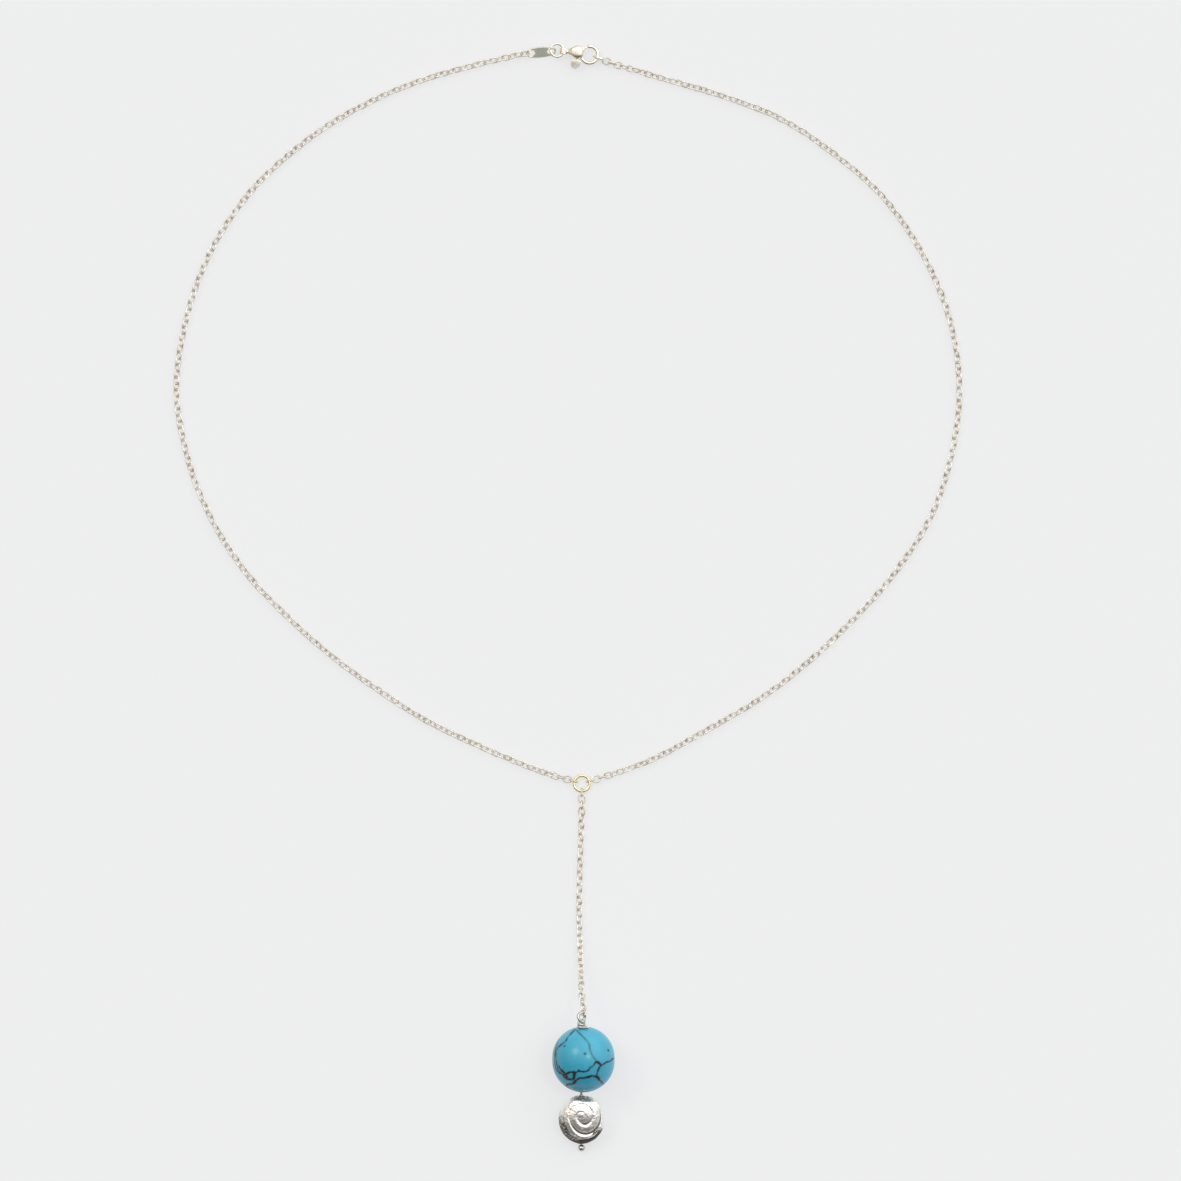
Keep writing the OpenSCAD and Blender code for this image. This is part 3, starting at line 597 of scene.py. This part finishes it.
# Turns of the spiral in degrees, and the crest's distance as a share of half the bead's width
SHELL_SPIRAL = np.array([
    (-60, 0), (0, 0.12), (60, 0.16), (103, 0.21), (150, 0.31), (178, 0.33), (210, 0.36),
    (238, 0.43), (260, 0.51), (279, 0.58), (297, 0.58), (318, 0.55), (339, 0.53), (370, 0.51),
    (397, 0.51), (430, 0.53), (475, 0.59), (516, 0.65), (537, 0.69), (556, 0.70), (571, 0.72),
    (589, 0.79), (605, 0.87), (619, 0.96), (630, 1.03), (640, 1.05), (653, 1.03), (679, 1.00),
    (690, 0.96), (704, 0.90), (718, 0.85), (734, 0.82), (760, 0.81), (790, 0.85), (830, 1.1),
    (900, 1.5), (1510, 2.5)])
SHELL_EYE = np.array([0.07 * SHELL_W / 2, 0.36 * SHELL_L / 2])
# How full the crowns are, where a groove lies between two crests, and the hammer marks' depth
FACE_PUFF, BACK_PUFF, GROOVE_AT, HAMMER = 2.6, 2.3, 0.74, 0.02


def shell_rim(angle):
    """The outline's distance from the hole's middle, its corners rounded off."""
    share = sum(np.interp((angle + k) % 360, *SHELL_OUTLINE.T) for k in range(-9, 10, 3)) / 7
    a = np.radians(angle)
    return share / np.hypot(2 * np.cos(a) / SHELL_W, 2 * np.sin(a) / SHELL_L)


def rim_share(p):
    """How far a place is from the hole's middle, as a share of the way to the outline."""
    return np.linalg.norm(p, axis=-1) / shell_rim(np.degrees(np.arctan2(p[..., 1], p[..., 0])))


def shell_crown(p, puff):
    return (SHELL_T / 2 - RELIEF) * np.sqrt(np.maximum(0, 1 - rim_share(p) ** puff))


def spiral_r(turn):
    """Distance of the crest from the spiral's middle, its kinks rounded off."""
    share = sum(np.interp(turn + k, *SHELL_SPIRAL.T) for k in range(-16, 17, 8)) / 5
    return SHELL_W / 2 * share


def winding(p):
    """The turn of the spiral at a place, and how far the place is from one crest to the next."""
    offset = p - SHELL_EYE
    r = np.linalg.norm(offset, axis=-1)
    angle = np.degrees(np.arctan2(offset[..., 1], offset[..., 0])) % 360
    turn = angle + 360 * sum(spiral_r(angle + 360 * k) <= r for k in range(3))
    outer, inner = spiral_r(turn), spiral_r(turn - 360)
    return turn, np.clip((r - inner) / np.maximum(outer - inner, 1e-6), 0, 1)


def ridge(p):
    """Height of the ridge, 1 on the crest and least in a groove.

    It falls slowly outward and rises steeply to the next crest. Wear has levelled the top.
    """
    turn, share = winding(p)
    drop = np.where(share < GROOVE_AT, (share / GROOVE_AT) ** 2,
                    smooth((1 - share) / (1 - GROOVE_AT)))
    unworn = 0.35 + 0.65 * smooth(0.5 - p[..., 1] / SHELL_L / 0.7)
    return 1 - 0.9 * unworn * drop * smooth(turn / 160)


def groove_dirt(p):
    """The dark of a groove: deepest at its foot, none on the steep side that is rubbed bright."""
    turn, share = winding(p)
    return (smooth((share - 0.3) / 0.42) * smooth((0.86 - share) / 0.1) * smooth(turn / 160))


def shell_reach(angle):
    """The outline's distance from the spiral's middle."""
    way = np.stack([np.cos(np.radians(angle)), np.sin(np.radians(angle))], -1)
    low, high = np.zeros_like(angle), np.full_like(angle, 20.0)
    for _ in range(24):
        middle = (low + high) / 2
        inside = rim_share(SHELL_EYE + middle[:, None] * way) < 1
        low, high = np.where(inside, middle, low), np.where(inside, high, middle)
    return low, way


def spiral_shell():
    sides, face_rings, back_rings = 300, 130, 50
    reach, way = shell_reach(np.linspace(0, 360, sides, endpoint=False))
    rings = []
    for k in range(1, face_rings + 1):
        share = k / face_rings
        p = SHELL_EYE + (reach * math.sin(math.pi / 2 * share))[:, None] * way
        z = shell_crown(p, FACE_PUFF) + RELIEF * smooth((1 - share) * 5) * ridge(p)
        rings.append(np.column_stack([p, z]))
    for k in range(back_rings - 1, 0, -1):
        p = SHELL_EYE + (reach * math.sin(math.pi / 2 * k / back_rings))[:, None] * way
        rings.append(np.column_stack([p, -shell_crown(p, BACK_PUFF)]))
    ends = [[*SHELL_EYE, shell_crown(SHELL_EYE, FACE_PUFF) + RELIEF],
            [*SHELL_EYE, -shell_crown(SHELL_EYE, BACK_PUFF)]]
    points = np.concatenate([*rings, ends])
    # Hammer marks, which only cut in
    outward = unit(points * [1, 1, 2.5])
    marks = noise_at(points, 0.9, 4) * 0.05 + noise_at(points, 0.4, 9) * 0.025
    points += outward * (np.minimum(marks, HAMMER) - HAMMER)[:, None]
    points[:, 1] += shell_y
    return in_world(points), band(len(rings), sides) + fans(len(rings), sides)


def hammered_silver():
    s = Shader("Hammered silver")
    groove = s.value("groove")
    dents = s.cells(0.42, feature="SMOOTH_F1")
    fine = s.noise(0.16, 4, 0.65)
    patches = s.noise(1.6, 3, 0.6)
    worn = s.mix(s.step(fine, 0.35, 0.7), (0.91, 0.885, 0.84), (1.0, 0.99, 0.96))
    dirt = s.math("ADD", groove, s.math("MULTIPLY_ADD", fine, 0.3, -0.15))
    black = s.math("MULTIPLY", s.step(dirt, 0.5, 0.85), 0.75)
    # The rim's painted shade, with patina mottled into it: where the value "shade" is high the
    # speckled colour turns near black and less metallic
    shade = s.math("MULTIPLY", s.value("shade"), s.math("MULTIPLY_ADD", patches, 1.0, 0.5))
    specks = s.math("MULTIPLY_ADD", s.noise(0.32, 3, 0.6), 2.2, -1.1)
    painted_shade_and_patina = s.math("MULTIPLY", s.step(s.math("MULTIPLY_ADD", shade, 0.95, specks), 0.0, 0.8),
                   s.step(shade, 0.05, 0.3))
    body = s.mix(painted_shade_and_patina, worn, (0.050, 0.040, 0.034))
    return s.surface({
        "Base Color": s.mix(black, body, (0.06, 0.055, 0.05)),
        "Metallic": s.math("MULTIPLY_ADD", painted_shade_and_patina, -0.6, 1.0),
        "Roughness": s.math("MULTIPLY_ADD", dirt, 0.2, s.math("MULTIPLY_ADD", painted_shade_and_patina, 0.1, 0.32)),
        "Specular IOR Level": 0.3,
        "Normal": s.bump(fine, 0.012, s.bump(dents, 0.07))})


def add_shell():
    piece = add_mesh("spiral_shell", *spiral_shell(), hammered_silver(), "blackened_silver",
                     ["shell_bead"])
    drill(piece, SHELL_BORE_R)
    p = in_pin(mesh_points(piece.data)) - [0, shell_y, 0]
    share, way = rim_share(p[:, :2]), unit(p[:, :2])
    # The grooves of the face are dark with patina, and less dark towards the top
    face = smooth(p[:, 2] / 0.5) * smooth((1 - share) * 12)
    kept = 0.45 + 0.6 * smooth(0.6 - 0.55 * way @ [-0.2, 0.98])
    add_values(piece, "groove", groove_dirt(p[:, :2]) * face * kept)
    # The rim is darkened below and on the left, though not on a crest, and round the top of the
    # hole:
    # painted shade for the dark surroundings the rim reflects, with patina mottled into it. The
    # back is bright.
    low = smooth((way @ [-0.36, -0.93] + 0.35) / 0.8)
    left = smooth(way @ [-0.93, -0.37] / 0.9)
    crest = smooth((ridge(p[:, :2]) - 0.93) / 0.07) * smooth((0.86 - share) / 0.1)
    dark = low * smooth((share - 0.58 + 0.05 * left) / 0.2) * (1 - 0.9 * crest)
    top = 0.36 * smooth((way[:, 1] - 0.8) / 0.15) * smooth((share - 0.82) / 0.1)
    front = smooth((p[:, 2] + 1.5) / 1.2)
    add_values(piece, "shade", (dark * (1.2 - 0.5 * left) + top) * front)


add_shell()


# The tag: a bare plate with a raised rim round each hole

TAG_L, TAG_W, TAG_T, TAG_HOLE_R, TAG_END_R, TAG_ROLL = 5.9, 2.6, 0.3, 0.7, 1.05, 45
# The softened edge, and the rims: the radius of their round, how far off the hole and how high
TAG_BEVEL, TAG_RIM_R, TAG_RIM_OFF = 0.04, 0.11, 0.15
TAG_RIM_Z = TAG_T / 2 - TAG_BEVEL


def tag_outline():
    """Two end circles joined by long arcs that touch them."""
    hole_x = TAG_L / 2 - TAG_END_R
    arc_r = (hole_x ** 2 / (TAG_W / 2 - TAG_END_R) + TAG_END_R + TAG_W / 2) / 2
    touch = math.degrees(math.asin(hole_x / (arc_r - TAG_END_R)))
    long_arc = [(arc_r * math.sin(math.radians(a)), arc_r * math.cos(math.radians(a))
                 - arc_r + TAG_W / 2) for a in np.linspace(-touch, touch, 30)]
    end_arc = [(hole_x + TAG_END_R * math.sin(math.radians(a)),
                TAG_END_R * math.cos(math.radians(a)))
               for a in np.linspace(touch, 180 - touch, 26)[1:-1]]
    half = long_arc + end_arc
    return half + [(-x, -y) for x, y in half], hole_x


def tag_plate(outline, hole_x):
    """The plate with its two holes, as points and faces."""
    data = bpy.data.curves.new("tag_outline", "CURVE")
    data.dimensions, data.fill_mode = "2D", "BOTH"
    data.extrude, data.bevel_depth, data.bevel_resolution = TAG_RIM_Z * MM, TAG_BEVEL * MM, 2
    data.offset = -TAG_BEVEL * MM
    loops = [outline]
    for side in (-1, 1):
        loops.append([tuple(compass(a)[:2] * TAG_HOLE_R + [side * hole_x, 0])
                      for a in np.linspace(0, 360, 48, endpoint=False)])
    for loop in loops:
        spline = data.splines.new("POLY")
        spline.points.add(len(loop) - 1)
        spline.points.foreach_set("co", [v for x, y in loop for v in (x * MM, y * MM, 0, 1)])
        spline.use_cyclic_u = True
    flat = bpy.data.objects.new("tag_flat", data)
    bpy.context.scene.collection.objects.link(flat)
    plate = bpy.data.meshes.new_from_object(
        flat.evaluated_get(bpy.context.evaluated_depsgraph_get()))
    bpy.data.objects.remove(flat)
    return mesh_shape(plate)


def tag_rim(x, z):
    """The rim of a hole on one face."""
    ring = np.array([compass(a) * (TAG_HOLE_R + TAG_RIM_OFF) + [x, 0, z]
                     for a in np.linspace(0, 360, 64, endpoint=False)])
    return tube(ring, np.full(64, TAG_RIM_R), 10, closed=True)


def matt_silver():
    s = Shader("Tag silver")
    brushed = s.noise(0.08, 3, 0.6)
    clouds = s.noise(1.2, 3, 0.5)
    return s.surface({
        "Base Color": s.mix(clouds, (0.62, 0.65, 0.55), (0.82, 0.84, 0.70)),
        "Metallic": 1.0,
        "Roughness": s.math("MULTIPLY_ADD", brushed, 0.2, 0.38),
        "Normal": s.bump(brushed, 0.004)})


def add_tag():
    outline, hole_x = tag_outline()
    rims = [tag_rim(side * hole_x, face * TAG_RIM_Z) for side in (-1, 1) for face in (-1, 1)]
    points, faces = join(tag_plate(outline, hole_x), *rims)
    roll = math.radians(TAG_ROLL)
    tilted = np.stack([compass(TAG_TILT),
                       math.cos(roll) * compass(TAG_TILT + 90) + math.sin(roll) * UP,
                       math.cos(roll) * UP - math.sin(roll) * compass(TAG_TILT + 90)])
    piece = add_mesh("tag_plate", points @ tilted + node_box("chain_tag")[2], faces,
                     matt_silver(), "tag_silver", ["chain_tag"])
    # The faces are matt, the edges and the rims polished
    piece.data.materials.append(fitting_silver)
    bright = np.array([abs(np.dot(f.normal, tilted[2])) < 0.9 for f in piece.data.polygons])
    piece.data.polygons.foreach_set("material_index", bright.astype(np.int32))
    piece.data.set_sharp_from_angle(angle=math.radians(30))


add_tag()


# The solids that show as they are, and the cast clasp with its edges softened


def slab(outline, low, high):
    """A flat plate between two heights, its outline counter-clockwise from above."""
    n = len(outline)
    points = [(x, y, z) for z in (low, high) for x, y in outline]
    walls = [[i, (i + 1) % n, n + (i + 1) % n, n + i] for i in range(n)]
    return np.array(points), [list(range(n))[::-1], list(range(n, 2 * n)), *walls]


def soften(name, voxel, rounds, filling, reshape=None):
    """A copy of a solid and a filling in one skin, its edges worn soft as on a casting.

    The skin has cells of voxel millimetres and is rubbed so many rounds.
    """
    solid = nodes[name]
    shape = join(mesh_shape(solid.data), filling)
    piece = add_mesh(name + "_cast", *shape, fitting_silver, "fitting_silver", [name])
    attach(piece, solid["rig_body"])
    remesh = piece.modifiers.new("Skin", "REMESH")
    remesh.mode, remesh.voxel_size, remesh.use_smooth_shade = "VOXEL", voxel * MM, True
    apply_modifiers(piece)
    if reshape:
        moved = reshape(mesh_points(piece.data))
        piece.data.vertices.foreach_set("co", (moved * MM).ravel())
    rub = piece.modifiers.new("Rub", "SMOOTH")
    rub.factor, rub.iterations = 0.5, rounds
    apply_modifiers(piece)
    return piece


# The body is a pear, from a small ball at its neck to a large one, of which the solid is cut flat
CLASP_TILT, BODY_LEAN, NECK_R, BODY_R, NECK_TO_BALL, HALF_T = -8, 4, 0.42, 1.35, 1.9, 1.0
# Its crown: how much of the pear's height above the cut is left, where it starts, how square it is
CROWN_LEFT, CROWN_LOW, CROWN_POWER = 0.37, 0.45, 2 / 3
# The thumb tab: its direction, half thickness, middle, half length and half width, and how much
# broader than an ellipse it is at the body
TAB_WAY, TAB_HALF_T, TAB_AT, TAB_HALF_L, TAB_HALF_W, TAB_EGG = -95, 0.55, 2.4, 0.9, 0.88, 0.35
RIVET_R = 0.33
rivet_at = node_box("clasp_rivet")[2]
ball_at = rivet_at + 0.173 * compass(CLASP_TILT) - 0.06 * compass(CLASP_TILT + 90)


def body_crown():
    """The domed upper side of the pear, as sections one behind the other."""
    way, across = (compass(CLASP_TILT + BODY_LEAN + a) for a in (0, 90))
    along = np.linspace(0, NECK_TO_BALL + 1.05, 90)[:, None]
    # The pear's half width is that of the widest of the balls between its two, and the crown
    # covers what is broader than the neck's end
    share = np.linspace(0, 1, 60)
    ball_r = NECK_R + (BODY_R - NECK_R) * share
    half = np.sqrt(np.maximum(0, ball_r ** 2 - (along - NECK_TO_BALL * share) ** 2)).max(1)
    along, half = along[half > 0.55], half[half > 0.55, None]
    top = np.minimum(half, HALF_T + CROWN_LEFT * (half - HALF_T))
    a = np.linspace(0, math.pi, 40)
    x = half * np.sign(np.cos(a)) * np.abs(np.cos(a)) ** CROWN_POWER
    z = np.maximum(top * np.sin(a) ** CROWN_POWER, CROWN_LOW)
    neck_at = ball_at - NECK_TO_BALL * way
    points = (neck_at + along[..., None] * way + x[..., None] * across + z[..., None] * UP)
    ends = points[[0, -1]].mean(1)
    return np.concatenate([points.reshape(-1, 3), ends]), band(*z.shape) + fans(*z.shape)


def thinned(points):
    """The thumb tab's upper side slopes down, from beside the body to the tab's end."""
    out = (points - rivet_at) @ compass(TAB_WAY)
    height = points[:, 2] - rivet_at[2]
    lower = 0.28 * smooth((out - 1.45) / 2.2) * smooth(height / TAB_HALF_T + 0.3)
    points[:, 2] -= lower * (height + 0.25)
    return points


def add_clasp():
    """The rivet is hammered flush, and the thumb tab is an egg, its broad end at the body."""
    circle = [(rivet_at + RIVET_R * compass(a))[:2] for a in range(0, 360, 12)]
    rivet = slab(circle, rivet_at[2] - HALF_T, rivet_at[2] + HALF_T)
    body = soften("clasp_body", 0.04, 8, join(rivet, body_crown()))
    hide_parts("clasp_rivet")
    out, across = compass(TAB_WAY), compass(TAB_WAY + 90)
    egg = [(rivet_at + (TAB_AT - TAB_HALF_L * math.cos(t)) * out
            + TAB_HALF_W * math.sin(t) * (1 + TAB_EGG * math.cos(t)) * across)[:2]
           for t in np.linspace(2 * math.pi, 0, 60, endpoint=False)]
    tab = slab(egg, rivet_at[2] - TAB_HALF_T, rivet_at[2] + TAB_HALF_T)
    soften("clasp_lever", 0.04, 7, tab, thinned)


add_clasp()

for name, material in (
        ("drop_chain", chain_silver), ("tag_link", chain_silver), ("clasp_link", chain_silver),
        ("y_link_left", chain_silver), ("y_link_right", chain_silver), ("y_ring", pale_gold),
        ("jump_ring", fitting_silver), ("end_ring", fitting_silver)):
    solid = nodes[name]
    solid.data.polygons.foreach_set("use_smooth", [True] * len(solid.data.polygons))
    solid.data.set_sharp_from_angle(angle=math.radians(40))
    for place in solid.material_slots:
        place.material = material


# The surface, the light and the camera


def add_floor():
    half = 1.5
    mesh = bpy.data.meshes.new("surface")
    mesh.from_pydata([(-half, -half, 0), (half, -half, 0), (half, half, 0), (-half, half, 0)],
                     [], [(0, 1, 2, 3)])
    s = Shader("Pale surface")
    mesh.materials.append(s.surface({
        "Base Color": (0.22, 0.22, 0.22), "Roughness": 0.9, "Specular IOR Level": 0.0,
        "Emission Color": (0.975, 0.987, 1.0), "Emission Strength": 0.633}))
    floor = bpy.data.objects.new("surface", mesh)
    floor.location.z = -0.02 * MM
    bpy.context.scene.collection.objects.link(floor)


def add_sun(name, way, strength, size, colour):
    """A light whose rays come from a direction; its size in degrees softens the shadow."""
    data = bpy.data.lights.new(name, "SUN")
    data.energy, data.angle, data.color = strength, math.radians(size), colour
    sun = bpy.data.objects.new(name, data)
    sun.rotation_euler = Vector(way).to_track_quat("Z", "Y").to_euler()
    bpy.context.scene.collection.objects.link(sun)


def add_world(*lamps):
    """The room: broad soft lamps, each with its middle, its tint and its fall in brightness.

    The fall is a list of how near to the lamp's middle, at most 1, and how bright.
    """
    world = bpy.data.worlds.new("Studio")
    world.use_nodes = True
    bpy.context.scene.world = world
    tree = world.node_tree
    place = tree.nodes.new("ShaderNodeTexCoord")
    light = None
    for middle, tint, stops in lamps:
        share = tree.nodes.new("ShaderNodeVectorMath")
        share.operation = "DOT_PRODUCT"
        share.inputs[1].default_value = unit(np.array(middle))
        tree.links.new(place.outputs["Generated"], share.inputs[0])
        ramp = tree.nodes.new("ShaderNodeValToRGB")
        points = ramp.color_ramp.elements
        while len(points) < len(stops):
            points.new(0.5)
        for point, (position, strength) in zip(points, stops):
            point.position = position
            point.color = (*(strength * np.array(tint)), 1)
        tree.links.new(share.outputs["Value"], ramp.inputs[0])
        if light is None:
            light = ramp.outputs["Color"]
        else:
            both = tree.nodes.new("ShaderNodeVectorMath")
            tree.links.new(light, both.inputs[0])
            tree.links.new(ramp.outputs["Color"], both.inputs[1])
            light = both.outputs["Vector"]
    tree.links.new(light, tree.nodes["Background"].inputs["Color"])


def add_camera():
    """Straight above, far enough away for the beads' height not to matter."""
    data = bpy.data.cameras.new("Camera")
    distance, field, aim = 2500.0, 229.3, (4.369, 1.256)
    data.lens = data.sensor_width * distance / field
    data.clip_end = 10
    camera = bpy.data.objects.new("Camera", data)
    camera.location = Vector((*aim, distance)) * MM
    bpy.context.scene.collection.objects.link(camera)
    bpy.context.scene.camera = camera


add_floor()
add_sun("Key", (-0.49, 0.41, 0.767), 0.5, 20, (1.0, 0.95, 0.88))
add_sun("Second", (0.315, 0.108, 0.94), 0.3, 8, (1.0, 0.99, 0.97))
add_world(((0.5, 0.6, 0.62), (1.0, 1.0, 1.0),
           [(0.0, 0.15), (0.35, 0.33), (0.62, 0.96), (0.8, 1.15), (1.0, 1.6)]),
          ((-0.68, 0.3, 0.67), (1.0, 0.9, 0.78), [(0.5, 0.0), (0.8, 0.3), (0.95, 0.65)]))
add_camera()
bpy.context.scene.view_settings.view_transform = "Standard"
